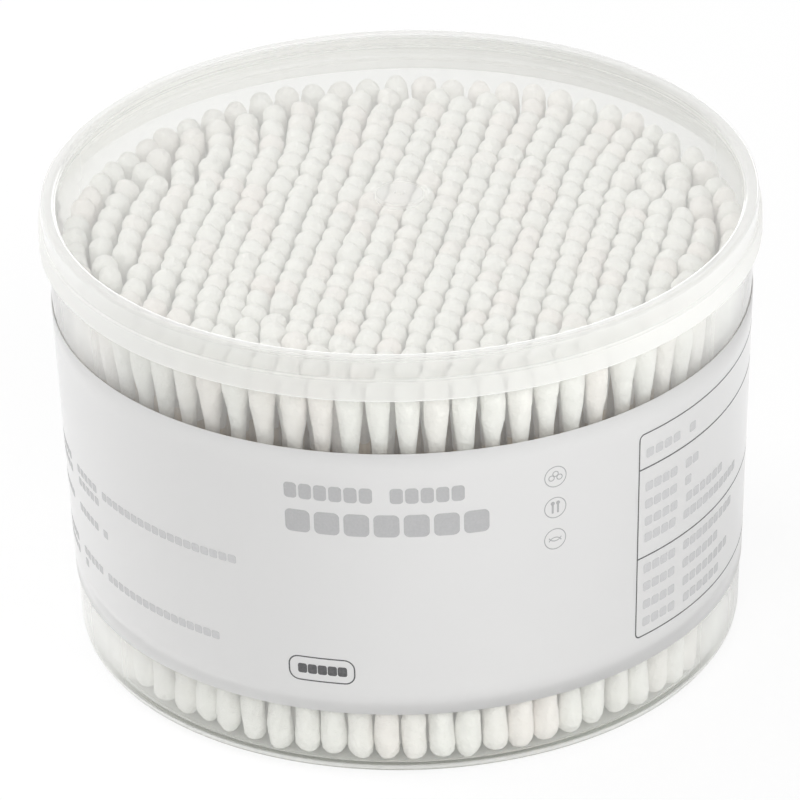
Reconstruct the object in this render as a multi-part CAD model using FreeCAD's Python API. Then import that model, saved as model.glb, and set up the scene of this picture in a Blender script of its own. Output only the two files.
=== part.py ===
"""Round push-lid tub of 500 double-ended cotton swabs, in millimetres, +Z up.

The origin is the centre of the tub's foot, on the surface that the tub stands on.
The tub and the lid are thin mouldings of revolution, the label is a conical strip
with a seam, and the swabs stand on end in a close packing that fans out with the wall.
"""
import FreeCAD
import Part

import math
import os
import random

# Tub: a thin moulding with a drafted wall, a straight collar and a foot ring
WALL = 0.8
FOOT_R = 59.15
FOOT_ROUNDING = 2.9
FOOT_HEIGHT = 0.5
FOOT_WIDTH = 1.5
FLOOR = 1.0
COLLAR_R = 62.2
COLLAR_START = 76.0
TUB_HEIGHT = 83.9
TUB_BEAD_R = 62.4
TUB_BEAD_Z = 80.2
TUB_BEAD_REACH = 0.4
TUB_LIP_DRAFT = 0.05
INNER_FLOOR_ROUNDING = 2.1
GATE_WELL_R = 4.4
GATE_WELL_DEPTH = 0.3
GATE_R = 0.9

# Lid: a clear panel, a raised stacking rim and a stepped skirt
LID_TOP = 84.8
RIM_OUTER_R = 63.05
RIM_INNER_R = 60.7
PANEL_TOP = 83.5
PANEL = 0.9
CHANNEL_ROOF = 84.0
CHANNEL_INNER_R = 61.3
CHANNEL_OUTER_R = 62.35
STEP_Z = 80.9
SKIRT_R = 63.6
SKIRT_INNER_R = 62.75
SKIRT_BOTTOM = 76.8
LID_BEAD_R = 62.55
LID_BEAD_Z = 79.2
LID_BEAD_REACH = 0.6
LID_DRAFT = 0.05
GATE_BOSS_R = 5.1
GATE_BOSS_HEIGHT = 0.25

# Roundings of moulded edges
FINE_EDGE = 0.12
MOULDED_EDGE = 0.2
SOFT_EDGE = 0.3

# Label: a paper strip round the drafted wall
LABEL_BOTTOM = 13.0
LABEL_TOP = 65.8
LABEL_THICKNESS = 0.12
ADHESIVE = 0.1
LABEL_SEAM_DEG = 0.8

# Swabs: a bamboo stick with a wound cotton head at each end
SWAB_COUNT = 500
SWAB_LENGTH = 75.8
LENGTH_SPREAD = 0.2
STICK_R = 1.1
HEAD_LENGTH = 14.2
HEAD_BELLY = 5.4
HEAD_WAIST = 11.6
WAIST_R = 1.45
TOP_HEAD_R = 2.4
BOTTOM_HEAD_R = 2.3
TIP_FLAT_R = 0.15
BELLY_ROUNDING = 9.0
WAIST_ROUNDING = 12.0
NECK_R = 1.3
STICK_INSET = 1.4
LIFT_MEAN = 0.5
LIFT_SPREAD = 0.28
LIFT_MAX = 1.2

# Packing: chains of heads that touch along the chain, and stand a little apart from the next
CHAIN_PITCH = 4.97
CHAIN_SPACING = 4.37
CHAIN_TURN_DEG = 80.0
CHAINS_EACH_SIDE = 13
CHAIN_FAN = 0.0008
WAVE = 0.8
WAVE_LENGTH = 75.0
SLIP_EDGE = 27.0
SLIP_END = 8.0
SLIP = CHAIN_SPACING / 2
JITTER = 0.17
HEAD_GAP = 0.1
WALL_GAP = 0.25
PILE_SHIFT = (0.4, -0.35)
WALL_RING_PITCH = 5.12
CORE_CENTRE = (7.0, -6.0)
CORE_R = 36.0
LOOSENING = 0.035
LOOSE_ROUNDS = 60
RELAX_ROUNDS = 500
LEAN = 0.25
PACKING_SEED = 11


def wall_radius(height):
    """Outer radius of the tub's drafted wall at a height."""
    share = min(height / COLLAR_START, 1.0)
    return FOOT_R + (COLLAR_R - FOOT_R) * share


def point(radius, height):
    """A point of a profile, in the XZ plane."""
    return FreeCAD.Vector(radius, 0, height)


def rounded_corner(before, corner, after):
    """Start, middle and end of the arc that rounds one corner of a profile.

    Each corner is (radius, height, rounding), and a rounding of 0 stays sharp.
    """
    tip = point(corner[0], corner[1])
    rounding = corner[2]
    if rounding == 0:
        return tip, tip, tip
    to_before = (point(before[0], before[1]) - tip).normalize()
    to_after = (point(after[0], after[1]) - tip).normalize()
    half_angle = to_before.getAngle(to_after) / 2
    reach = rounding / math.tan(half_angle)
    centre_line = (to_before + to_after).normalize()
    centre = tip + centre_line * (rounding / math.sin(half_angle))
    return tip + to_before * reach, centre - centre_line * rounding, tip + to_after * reach


def rounded_outline(corners):
    """Closed wire through the corners, with straight runs joined by tangent arcs."""
    count = len(corners)
    arcs = []
    for index, corner in enumerate(corners):
        arcs.append(rounded_corner(corners[index - 1], corner, corners[(index + 1) % count]))
    edges = []
    for index, (start, middle, end) in enumerate(arcs):
        if corners[index][2] > 0:
            edges.append(Part.Arc(start, middle, end).toShape())
        edges.append(Part.makeLine(end, arcs[(index + 1) % count][0]))
    return Part.Wire(edges)


def turned(corners, angle=360):
    """Solid made by turning a profile of corners about the Z axis."""
    face = Part.Face(rounded_outline(corners))
    return face.revolve(FreeCAD.Vector(0, 0, 0), FreeCAD.Vector(0, 0, 1), angle)


def tub():
    """Thin-walled tub: foot ring, raised floor, drafted wall and collar with a snap bead."""
    floor_top = FOOT_HEIGHT + FLOOR
    foot_inner = FOOT_R - FOOT_ROUNDING - FOOT_WIDTH
    well_top = FOOT_HEIGHT + GATE_WELL_DEPTH
    body = turned([
        (0, well_top, 0),
        (GATE_WELL_R - 2 * MOULDED_EDGE, well_top, MOULDED_EDGE),
        (GATE_WELL_R, FOOT_HEIGHT, MOULDED_EDGE),
        (foot_inner - SOFT_EDGE, FOOT_HEIGHT, SOFT_EDGE),
        (foot_inner, 0, MOULDED_EDGE),
        (FOOT_R, 0, FOOT_ROUNDING),
        (COLLAR_R, COLLAR_START, 0),
        (COLLAR_R, TUB_BEAD_Z - TUB_BEAD_REACH, FINE_EDGE),
        (TUB_BEAD_R, TUB_BEAD_Z, 0.25),
        (COLLAR_R, TUB_BEAD_Z + TUB_BEAD_REACH, FINE_EDGE),
        (COLLAR_R, TUB_HEIGHT, SOFT_EDGE),
        (COLLAR_R - WALL + TUB_LIP_DRAFT, TUB_HEIGHT, SOFT_EDGE),
        (COLLAR_R - WALL, COLLAR_START, 0),
        (wall_radius(floor_top) - WALL, floor_top, INNER_FLOOR_ROUNDING),
        (0, floor_top, 0),
    ])
    gate_base = FreeCAD.Vector(0, 0, well_top - 0.2)
    gate = Part.makeCylinder(GATE_R, 0.4, gate_base)
    return body.fuse(gate).removeSplitter()


def lid():
    """Push-on lid: clear panel with its gate boss, stacking rim, channel and stepped skirt."""
    panel_bottom = PANEL_TOP - PANEL
    boss_top = PANEL_TOP + GATE_BOSS_HEIGHT
    body = turned([
        (0, boss_top, 0),
        (GATE_BOSS_R, boss_top, FINE_EDGE),
        (GATE_BOSS_R + 0.15, PANEL_TOP, FINE_EDGE),
        (RIM_INNER_R, PANEL_TOP, 0.5),
        (RIM_INNER_R, LID_TOP, 0.45),
        (RIM_OUTER_R, LID_TOP, 0.8),
        (RIM_OUTER_R + LID_DRAFT, STEP_Z + 0.1, MOULDED_EDGE),
        (SKIRT_R, STEP_Z - 0.2, MOULDED_EDGE),
        (SKIRT_R + LID_DRAFT, SKIRT_BOTTOM, SOFT_EDGE),
        (SKIRT_INNER_R + LID_DRAFT, SKIRT_BOTTOM, MOULDED_EDGE),
        (SKIRT_INNER_R, LID_BEAD_Z - LID_BEAD_REACH, FINE_EDGE),
        (LID_BEAD_R, LID_BEAD_Z, SOFT_EDGE),
        (SKIRT_INNER_R, LID_BEAD_Z + LID_BEAD_REACH, FINE_EDGE),
        (SKIRT_INNER_R, STEP_Z, FINE_EDGE),
        (CHANNEL_OUTER_R, STEP_Z + 0.3, FINE_EDGE),
        (CHANNEL_OUTER_R - LID_DRAFT, CHANNEL_ROOF, SOFT_EDGE),
        (CHANNEL_INNER_R, CHANNEL_ROOF, SOFT_EDGE),
        (CHANNEL_INNER_R - LID_DRAFT, panel_bottom, MOULDED_EDGE),
        (0, panel_bottom, 0),
    ])
    gate = Part.makeCone(GATE_R, 0.7, 0.4, FreeCAD.Vector(0, 0, boss_top - 0.1))
    return body.fuse(gate).removeSplitter()


def label():
    """Conical paper strip on the drafted wall, with its butt seam at the back (+Y)."""
    low = wall_radius(LABEL_BOTTOM) + ADHESIVE
    high = wall_radius(LABEL_TOP) + ADHESIVE
    strip = turned([
        (low, LABEL_BOTTOM, 0),
        (low + LABEL_THICKNESS, LABEL_BOTTOM, 0),
        (high + LABEL_THICKNESS, LABEL_TOP, 0),
        (high, LABEL_TOP, 0),
    ], 360 - LABEL_SEAM_DEG)
    seam_turn = 90 + LABEL_SEAM_DEG / 2
    strip.rotate(FreeCAD.Vector(0, 0, 0), FreeCAD.Vector(0, 0, 1), seam_turn)
    return strip


def head(radius):
    """Wound cotton head with its tip at the origin: round tip, belly, waist, neck, blind bore."""
    return turned([
        (0, 0, 0),
        (radius, 0, radius - TIP_FLAT_R),
        (radius, HEAD_BELLY, BELLY_ROUNDING),
        (WAIST_R, HEAD_WAIST, WAIST_ROUNDING),
        (NECK_R, HEAD_LENGTH, 0),
        (STICK_R, HEAD_LENGTH, 0),
        (STICK_R, STICK_INSET, 0),
        (0, STICK_INSET, 0),
    ])


def chain_sites(count, chance):
    """The count sites nearest the axis, as [x, y], of chains that wave, fan out and slip.

    The chains run at CHAIN_TURN_DEG from +X, and every second one is half a pitch further on.
    Past the edge of the slip they stand half a spacing to the side, as where two heaps met.
    """
    turn = math.radians(CHAIN_TURN_DEG)
    reach = range(-CHAINS_EACH_SIDE - 3, CHAINS_EACH_SIDE + 4)
    sites = []
    for chain in reach:
        for place in reach:
            along = (place + 0.5 * (chain % 2)) * CHAIN_PITCH
            across = chain * CHAIN_SPACING
            x = along * math.cos(turn) - across * math.sin(turn)
            y = along * math.sin(turn) + across * math.cos(turn)
            x += CHAIN_FAN * x * y
            if y > SLIP_EDGE and x < SLIP_END:
                x += SLIP
            sites.append((math.hypot(x, y), x, y))
    sites.sort()
    points = []
    for distance, x, y in sites[:count]:
        waved_x = x + WAVE * math.sin(2 * math.pi * y / WAVE_LENGTH) + chance.gauss(0, JITTER)
        waved_y = y + WAVE * math.cos(2 * math.pi * x / WAVE_LENGTH) + chance.gauss(0, JITTER)
        points.append([waved_x, waved_y])
    return points


def close_pairs(points, reach):
    """Index pairs of the points that lie within about reach of each other."""
    order = sorted(range(len(points)), key=lambda index: points[index][0])
    pairs = []
    for place, first in enumerate(order):
        for second in order[place + 1:]:
            if points[second][0] - points[first][0] > reach:
                break
            if abs(points[second][1] - points[first][1]) < reach:
                pairs.append((first, second))
    return pairs


def push_apart(points, spacing, loosening, wall, rounds):
    """Move points apart until none are nearer than a spacing, and none beyond the wall.

    Outside the core the spacing grows by loosening for each millimetre from its edge.
    """
    for turn in range(rounds):
        if turn % 10 == 0:
            pairs = close_pairs(points, spacing * 1.3)
        for first, second in pairs:
            a = points[first]
            b = points[second]
            distance = math.hypot(b[0] - a[0], b[1] - a[1])
            from_core = math.hypot(a[0] - CORE_CENTRE[0], a[1] - CORE_CENTRE[1]) - CORE_R
            wanted = spacing + loosening * max(0.0, from_core)
            if distance < wanted:
                share = 0.5 * (wanted - distance) / distance
                step_x = (b[0] - a[0]) * share
                step_y = (b[1] - a[1]) * share
                a[0] -= step_x
                a[1] -= step_y
                b[0] += step_x
                b[1] += step_y
        for place in points:
            distance = math.hypot(place[0], place[1])
            if distance > wall:
                place[0] *= wall / distance
                place[1] *= wall / distance


def packing(chance):
    """Places of the swabs' top and bottom heads, as two lists of [x, y]."""
    shift = math.hypot(PILE_SHIFT[0], PILE_SHIFT[1])
    top_wall = wall_radius(COLLAR_START - 3) - WALL - TOP_HEAD_R - WALL_GAP - shift
    bottom_wall = wall_radius(FLOOR + FOOT_HEIGHT + 3) - WALL - BOTTOM_HEAD_R - WALL_GAP
    ring_count = int(2 * math.pi * top_wall / WALL_RING_PITCH)
    top = []
    for index in range(ring_count):
        angle = 2 * math.pi * index / ring_count
        top.append([top_wall * math.cos(angle), top_wall * math.sin(angle)])
    top += chain_sites(SWAB_COUNT - ring_count, chance)
    push_apart(top, 2 * TOP_HEAD_R + HEAD_GAP, LOOSENING, top_wall, LOOSE_ROUNDS)
    push_apart(top, 2 * TOP_HEAD_R + HEAD_GAP, 0.0, top_wall, RELAX_ROUNDS)
    bottom = []
    for place in top:
        place[0] += PILE_SHIFT[0]
        place[1] += PILE_SHIFT[1]
    for x, y in top:
        shrink = bottom_wall / top_wall
        bottom.append([x * shrink + chance.gauss(0, LEAN), y * shrink + chance.gauss(0, LEAN)])
    push_apart(bottom, 2 * BOTTOM_HEAD_R + HEAD_GAP, 0.0, bottom_wall, RELAX_ROUNDS)
    return top, bottom


def swab_axes():
    """Each swab's bottom tip and top tip, as two points, by row across the tub."""
    chance = random.Random(PACKING_SEED)
    turn = math.radians(CHAIN_TURN_DEG)
    floor_top = FOOT_HEIGHT + FLOOR
    rows = {}
    for top_place, bottom_place in zip(*packing(chance)):
        lift = min(max(0.05, chance.gauss(LIFT_MEAN, LIFT_SPREAD)), LIFT_MAX)
        length = SWAB_LENGTH + chance.uniform(-LENGTH_SPREAD, LENGTH_SPREAD)
        slant = math.hypot(top_place[0] - bottom_place[0], top_place[1] - bottom_place[1])
        bottom_tip = FreeCAD.Vector(bottom_place[0], bottom_place[1], floor_top + lift)
        rise = math.sqrt(length ** 2 - slant ** 2)
        top_tip = FreeCAD.Vector(top_place[0], top_place[1], bottom_tip.z + rise)
        across = top_place[1] * math.cos(turn) - top_place[0] * math.sin(turn)
        row = round(across / CHAIN_SPACING)
        row = max(-CHAINS_EACH_SIDE, min(CHAINS_EACH_SIDE, row))
        rows.setdefault(row, []).append((bottom_tip, top_tip))
    return rows


def placed(shape, tip, direction):
    """Copy of a shape made along +Z from the origin, moved to a tip and turned to a direction."""
    copy = shape.copy()
    copy.Placement = FreeCAD.Placement(tip, FreeCAD.Rotation(FreeCAD.Vector(0, 0, 1), direction))
    return copy


def swab_row(axes, bottom_head, top_head):
    """The sticks and the cotton heads of one row of swabs, as two compounds."""
    sticks = []
    heads = []
    for bottom_tip, top_tip in axes:
        up = (top_tip - bottom_tip).normalize()
        length = (top_tip - bottom_tip).Length
        stick = Part.makeCylinder(STICK_R, length - 2 * STICK_INSET)
        sticks.append(placed(stick, bottom_tip + up * STICK_INSET, up))
        heads.append(placed(bottom_head, bottom_tip, up))
        heads.append(placed(top_head, top_tip, up * -1))
    return Part.makeCompound(sticks), Part.makeCompound(heads)


def build():
    """Every node of the part: name to shape."""
    nodes = {"tub": tub(), "lid": lid(), "label": label()}
    bottom_head = head(BOTTOM_HEAD_R)
    top_head = head(TOP_HEAD_R)
    rows = swab_axes()
    for number, row in enumerate(sorted(rows), start=1):
        sticks, heads = swab_row(rows[row], bottom_head, top_head)
        nodes[f"swab_sticks_row_{number:02d}"] = sticks
        nodes[f"cotton_heads_row_{number:02d}"] = heads
    return nodes


os.makedirs("parts", exist_ok=True)
for name, shape in build().items():
    shape.exportStep(f"parts/{name}.step")
    print(name, len(shape.Solids), "solids", round(shape.Volume), "mm3", shape.isValid())
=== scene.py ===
# %% [markdown]
# # A tub of cotton swabs, finished for rendering
#
# The object is a round, clear, push-lid tub with 500 double-ended swabs standing on end in it,
# and a paper label round its wall. The solid model is already packed: its bodies, sizes and joint
# are fixed, and this file only gives it its looks. It is a lesson in cells. Each step first says
# what the piece is on the real object and why it is made the way it is, and the code follows.
#
# The frame comes first. Every size that the frame can tell is read from it, and the box of the
# imported model is kept.

import math

import bpy
import numpy as np
from mathutils import Matrix, Vector


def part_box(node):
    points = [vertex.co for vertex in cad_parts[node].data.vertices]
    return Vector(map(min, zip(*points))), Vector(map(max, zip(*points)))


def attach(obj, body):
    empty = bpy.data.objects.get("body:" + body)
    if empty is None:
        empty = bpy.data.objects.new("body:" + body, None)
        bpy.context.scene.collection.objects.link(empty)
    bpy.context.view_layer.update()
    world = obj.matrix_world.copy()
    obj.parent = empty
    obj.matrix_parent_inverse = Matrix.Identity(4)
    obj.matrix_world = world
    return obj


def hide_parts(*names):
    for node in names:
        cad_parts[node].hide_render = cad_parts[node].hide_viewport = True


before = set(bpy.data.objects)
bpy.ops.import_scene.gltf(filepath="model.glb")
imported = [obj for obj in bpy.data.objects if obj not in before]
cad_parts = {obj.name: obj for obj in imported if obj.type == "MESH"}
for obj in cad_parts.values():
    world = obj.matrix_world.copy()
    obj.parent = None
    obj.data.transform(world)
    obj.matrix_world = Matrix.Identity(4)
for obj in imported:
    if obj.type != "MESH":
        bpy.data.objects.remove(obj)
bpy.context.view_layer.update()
studio = bpy.context.scene

MM = 0.001
tub_low, tub_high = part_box("tub")
lid_low, lid_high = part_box("lid")
label_low, label_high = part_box("label")
print("lid in mm", [round(value / MM, 2) for value in (*lid_low, *lid_high)])

# %% [markdown]
# ## The camera
#
# The tub is seen from far off and a little above, so its sides hardly converge. A long lens more
# than a metre away gives that, and a small roll tips the picture as if the camera was held
# slightly askew. The camera's axes are three unit vectors: one towards the camera from
# the point it looks at, one to its right and one up, and the roll turns the last two.

# %% Camera
CAMERA_DISTANCE = 1308.2 * MM
CAMERA_ELEVATION = math.radians(28.95)
CAMERA_ROLL = math.radians(-1.51)
CAMERA_LENS = 330.3
SENSOR_WIDTH = 36
NEAREST_SEEN = 0.01
FARTHEST_SEEN = 50
LOOK_AT = Vector((-0.88, 0, 42.1)) * MM


def make_camera():
    """Camera on the -Y side, that looks at LOOK_AT from above and is rolled about its own axis."""
    back = Vector((0, -math.cos(CAMERA_ELEVATION), math.sin(CAMERA_ELEVATION)))
    level_right = Vector((1, 0, 0))
    level_up = back.cross(level_right)
    right = level_right * math.cos(CAMERA_ROLL) + level_up * math.sin(CAMERA_ROLL)
    up = back.cross(right)
    place = Matrix.Translation(LOOK_AT + back * CAMERA_DISTANCE)
    turn = Matrix((right, up, back)).transposed().to_4x4()
    data = bpy.data.cameras.new("camera")
    data.lens = CAMERA_LENS
    data.sensor_width = SENSOR_WIDTH
    data.clip_start = NEAREST_SEEN
    data.clip_end = FARTHEST_SEEN
    camera = bpy.data.objects.new("camera", data)
    camera.matrix_world = place @ turn
    studio.collection.objects.link(camera)
    studio.camera = camera
    return camera


camera = make_camera()
print("camera at", [round(value, 3) for value in camera.location])

# %% [markdown]
# ## A small language for finishes
#
# A finish is a tree of shader nodes. Wired by hand it takes a line for each node and each link,
# so one small class stands for the output of a node and turns sums, products and powers into
# Math nodes. Any other node comes from one method, which takes its kind, its settings, and the
# values or links of its sockets. The helpers that follow make the few nodes that most of the
# finishes share.

# %% Sockets and trees
class Socket:
    """The output of a node in a finish. Sums, products and powers of it add Math nodes."""

    def __init__(self, finish, output):
        self.finish = finish
        self.output = output

    def combined(self, operation, first, second):
        return self.finish.node("ShaderNodeMath", {"operation": operation}, {0: first, 1: second})

    def at_most(self, limit):
        return self.combined("MINIMUM", self, limit)

    def at_least(self, limit):
        return self.combined("MAXIMUM", self, limit)

    def __add__(self, other):
        return self.combined("ADD", self, other)

    def __sub__(self, other):
        return self.combined("SUBTRACT", self, other)

    def __rsub__(self, other):
        return self.combined("SUBTRACT", other, self)

    def __mul__(self, other):
        return self.combined("MULTIPLY", self, other)

    def __truediv__(self, other):
        return self.combined("DIVIDE", self, other)

    def __rtruediv__(self, other):
        return self.combined("DIVIDE", other, self)

    def __pow__(self, other):
        return self.combined("POWER", self, other)

    def __rpow__(self, other):
        return self.combined("POWER", other, self)

    __radd__ = __add__
    __rmul__ = __mul__


class Finish:
    """A tree of shader nodes, for a material or for the world, built by one method."""

    def __init__(self, owner):
        owner.use_nodes = True
        self.owner = owner
        self.tree = owner.node_tree
        self.tree.nodes.clear()

    def node(self, kind, settings=None, inputs=None, output=0):
        """Adds a node: first its settings, then its sockets' values or links. Gives one output."""
        made = self.tree.nodes.new(kind)
        for name, value in (settings or {}).items():
            setattr(made, name, value)
        for name, value in (inputs or {}).items():
            if isinstance(value, Socket):
                self.tree.links.new(value.output, made.inputs[name])
            else:
                made.inputs[name].default_value = value
        return Socket(self, made.outputs[output])

    def end(self, surface, kind="ShaderNodeOutputMaterial"):
        """Links the finished surface to the tree's output."""
        last = self.tree.nodes.new(kind)
        self.tree.links.new(surface.output, last.inputs["Surface"])
        return self.owner


def new_finish(name):
    """Empty finish for a new material."""
    return Finish(bpy.data.materials.new(name))


# %% Shared helpers of the finishes
WHITE = (1, 1, 1, 1)


def place_on(finish):
    """Where a point lies on its piece, in metres."""
    return finish.node("ShaderNodeTexCoord", output="Object")


def kept_value(finish, name):
    """Number that a mesh keeps for each of its points under a name."""
    return finish.node("ShaderNodeAttribute", {"attribute_name": name}, output="Fac")


def noise(finish, place, scale, detail, **more):
    """Soft random pattern, from 0 to 1, with about scale swells to a metre."""
    inputs = {"Vector": place, "Scale": scale, "Detail": detail}
    return finish.node("ShaderNodeTexNoise", {}, {**inputs, **more})


def blended(finish, share, first, second):
    """Colour that goes from the first to the second while the share goes from 0 to 1."""
    return finish.node("ShaderNodeMix", {"data_type": "RGBA"}, {0: share, 6: first, 7: second}, 2)


def mixed(finish, share, first, second):
    """Shader that goes from the first to the second while the share goes from 0 to 1."""
    return finish.node("ShaderNodeMixShader", {}, {0: share, 1: first, 2: second})


def bumps(finish, height, strength, distance):
    """Small relief that a height draws on the surface without moving it."""
    return finish.node("ShaderNodeBump", {}, {
        "Height": height, "Strength": strength, "Distance": distance})


def ramped(finish, value, start, end, before, after, way="LINEAR"):
    """Number that goes from before to after while a value goes from start to end."""
    return finish.node("ShaderNodeMapRange", {"interpolation_type": way}, {
        "Value": value, "From Min": start, "From Max": end, "To Min": before, "To Max": after})


def faded(finish, value, start, end, before, after):
    """The same with a smooth start and end."""
    return ramped(finish, value, start, end, before, after, "SMOOTHSTEP")


# %% [markdown]
# ## Floor, backdrop and lamps
#
# The pack stands on a seamless white table. A studio would light that table until it is pure
# white, which would also flood the pack from below. Here the floor is an ordinary pale surface
# for the light that reaches the pack, and only what looks straight at it sees it lifted most of
# the way to white. What is seen through the clear plastic, or mirrored in it, is the real floor,
# a little grey and dark close to the foot, and that is what draws the clear walls.
#
# Two large windows light the pack from behind at the left and from the right, a card fills in
# the front, and a low strip at the back draws the glints in the rim. Only the strip shows in
# gloss, because the others would lie on the curved wall as hard bright squares.

# %% Floor and world
FLOOR_REACH = 6.0
FLOOR_DROP = 0.1 * MM
FLOOR_COLOUR = (0.93, 0.93, 0.93, 1)
# share of pure white that a straight look sees, and the little light that the floor gives off
FLOOR_LIFT = 0.85
FLOOR_GLOW = 0.06
# what is left of the white when it is seen through plastic
FLOOR_THROUGH = 0.0
WORLD_THROUGH = 0.6
# strength of the world as a light
WORLD_LIGHT = 0.4


def seen_straight(finish, through):
    """1 for a ray straight from the camera, less where it has passed plastic, else 0."""
    camera_ray = finish.node("ShaderNodeLightPath", output="Is Camera Ray")
    walls = finish.node("ShaderNodeLightPath", output="Transparent Depth")
    return camera_ray * (1 - walls.at_most(1.0) * (1 - through))


def white_world():
    """World that looks white, and that lights the pack a good deal less."""
    finish = Finish(bpy.data.worlds.new("white_studio"))
    mirrored = finish.node("ShaderNodeLightPath", output="Is Glossy Ray")
    seen = seen_straight(finish, WORLD_THROUGH).at_least(mirrored)
    strength = WORLD_LIGHT + seen * (1 - WORLD_LIGHT)
    light = finish.node("ShaderNodeBackground", {}, {"Color": WHITE, "Strength": strength})
    studio.world = finish.end(light, "ShaderNodeOutputWorld")


def white_floor():
    """Square floor a hair under the foot, lifted most of the way to white for a straight look."""
    finish = new_finish("pale_floor")
    matt = finish.node("ShaderNodeBsdfDiffuse", {}, {"Color": FLOOR_COLOUR})
    glow = finish.node("ShaderNodeEmission", {}, {"Color": WHITE, "Strength": FLOOR_GLOW})
    lit = finish.node("ShaderNodeAddShader", {}, {0: matt, 1: glow})
    white = finish.node("ShaderNodeEmission", {}, {"Color": WHITE, "Strength": 1.0})
    lift = seen_straight(finish, FLOOR_THROUGH) * FLOOR_LIFT
    surface = mixed(finish, lift, lit, white)
    corners = np.array([(-1, -1, 0), (1, -1, 0), (1, 1, 0), (-1, 1, 0)]) * FLOOR_REACH
    corners[:, 2] = tub_low.z - FLOOR_DROP
    mesh = bpy.data.meshes.new("floor")
    mesh.from_pydata(corners.tolist(), [], [(0, 1, 2, 3)])
    mesh.materials.append(finish.end(surface))
    floor = bpy.data.objects.new("floor", mesh)
    studio.collection.objects.link(floor)


white_world()
white_floor()

# %% Lamps
LAMPS = {
    # name: azimuth from +X, elevation, distance, width, height, watts, shows in gloss
    "high_window": (157, 38, 1.2, 0.7, 0.7, 7.9, False),
    "low_window": (-42, 29, 1.2, 0.8, 0.7, 6.4, False),
    "front_card": (-98, 36, 1.3, 0.8, 0.6, 5.4, False),
    "back_strip": (80, 7, 1.3, 1.4, 0.24, 2.0, True),
}
# walls that a ray may pass, and times that light may go from one head to the next
WALLS_PASSED = 48
HEAD_TO_HEAD = 5


def area_lamp(name, azimuth, elevation, distance, width, height, watts, shows):
    """Soft rectangular lamp that looks at the pack's middle from a direction in degrees.

    The direction's level part is the cosine of the elevation, shared out by the azimuth's cosine
    and sine, and its upright part is the sine of the elevation.
    """
    turn, rise = math.radians(azimuth), math.radians(elevation)
    flat = math.cos(rise)
    away = Vector((math.cos(turn) * flat, math.sin(turn) * flat, math.sin(rise)))
    data = bpy.data.lights.new(name, "AREA")
    data.shape = "RECTANGLE"
    data.size = width
    data.size_y = height
    data.energy = watts
    lamp = bpy.data.objects.new(name, data)
    lamp.visible_glossy = shows
    lamp.location = LOOK_AT + away * distance
    lamp.rotation_mode = "QUATERNION"
    lamp.rotation_quaternion = away.to_track_quat("Z", "Y")
    studio.collection.objects.link(lamp)


for name, facts in LAMPS.items():
    area_lamp(name, *facts)

studio.view_settings.view_transform = "Standard"
studio.cycles.transparent_max_bounces = WALLS_PASSED
studio.cycles.diffuse_bounces = HEAD_TO_HEAD
print("lamps", sorted(LAMPS))

# %% [markdown]
# ## Surfaces from arrays
#
# Every new piece is a grid of points worked out with numpy. A grid has rows along a profile and
# columns round an axis. One helper lists the faces of such a tube: four-sided ones between the
# rings, and a fan of triangles to a single point beyond either end, which closes the piece at
# its poles. Another puts the points and faces into a mesh all at once, and a third makes the
# mesh a piece: it gets its finish, rides on its body and stands in for a node of the frame.

# %% Grid to mesh
def tube_faces(rows, columns):
    """Faces of a tube of rows rings with columns points each, and a pole beyond either end.

    The poles are the first and the last point, and the rings lie between them in order.
    """
    around = np.arange(columns)
    following = (around + 1) % columns
    ring = 1 + columns * np.arange(rows - 1)[:, None]
    quads = np.stack([ring + around, ring + following,
                      ring + columns + following, ring + columns + around], axis=-1)
    last_ring = 1 + columns * (rows - 1)
    first_fan = np.stack([np.zeros(columns, int), following + 1, around + 1], axis=-1)
    end_pole = np.full(columns, last_ring + columns)
    last_fan = np.stack([last_ring + around, last_ring + following, end_pole], axis=-1)
    return quads.reshape(-1, 4), first_fan, last_fan


def unit(vectors):
    """Vectors of length one in the directions of the given ones."""
    return vectors / np.linalg.norm(vectors, axis=1, keepdims=True)


def poly_mesh(name, points, polygons):
    """Mesh from an array of points and a list of face arrays, smooth all over."""
    mesh = bpy.data.meshes.new(name)
    corners = np.concatenate([faces.reshape(-1) for faces in polygons])
    sizes = np.concatenate([np.full(len(faces), faces.shape[1]) for faces in polygons])
    mesh.vertices.add(len(points))
    mesh.vertices.foreach_set("co", np.ascontiguousarray(points, np.float32).reshape(-1))
    mesh.loops.add(len(corners))
    mesh.loops.foreach_set("vertex_index", corners.astype(np.int32))
    mesh.polygons.add(len(sizes))
    mesh.polygons.foreach_set("loop_start", (np.cumsum(sizes) - sizes).astype(np.int32))
    mesh.update(calc_edges=True)
    mesh.polygons.foreach_set("use_smooth", np.ones(len(sizes), bool))
    mesh.validate()
    return mesh


def new_piece(mesh, material, body, slot, *nodes):
    """Object for a finished mesh: its finish, its body and the nodes it stands for. The slot is not
    used.
    """
    mesh.materials.append(material)
    piece = bpy.data.objects.new(mesh.name, mesh)
    studio.collection.objects.link(piece)
    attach(piece, body)
    if nodes:
        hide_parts(*nodes)
    return piece


# %% [markdown]
# ## Sizes of the tub
#
# The tub comes first although it is made later, because the swabs are packed against its wall.
# The wall is a cone: it opens a little upwards, so that the moulding could leave its mould, and
# it meets the floor in a rounding. Sizes are in mm, and the frame gives the outermost ones.

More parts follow.
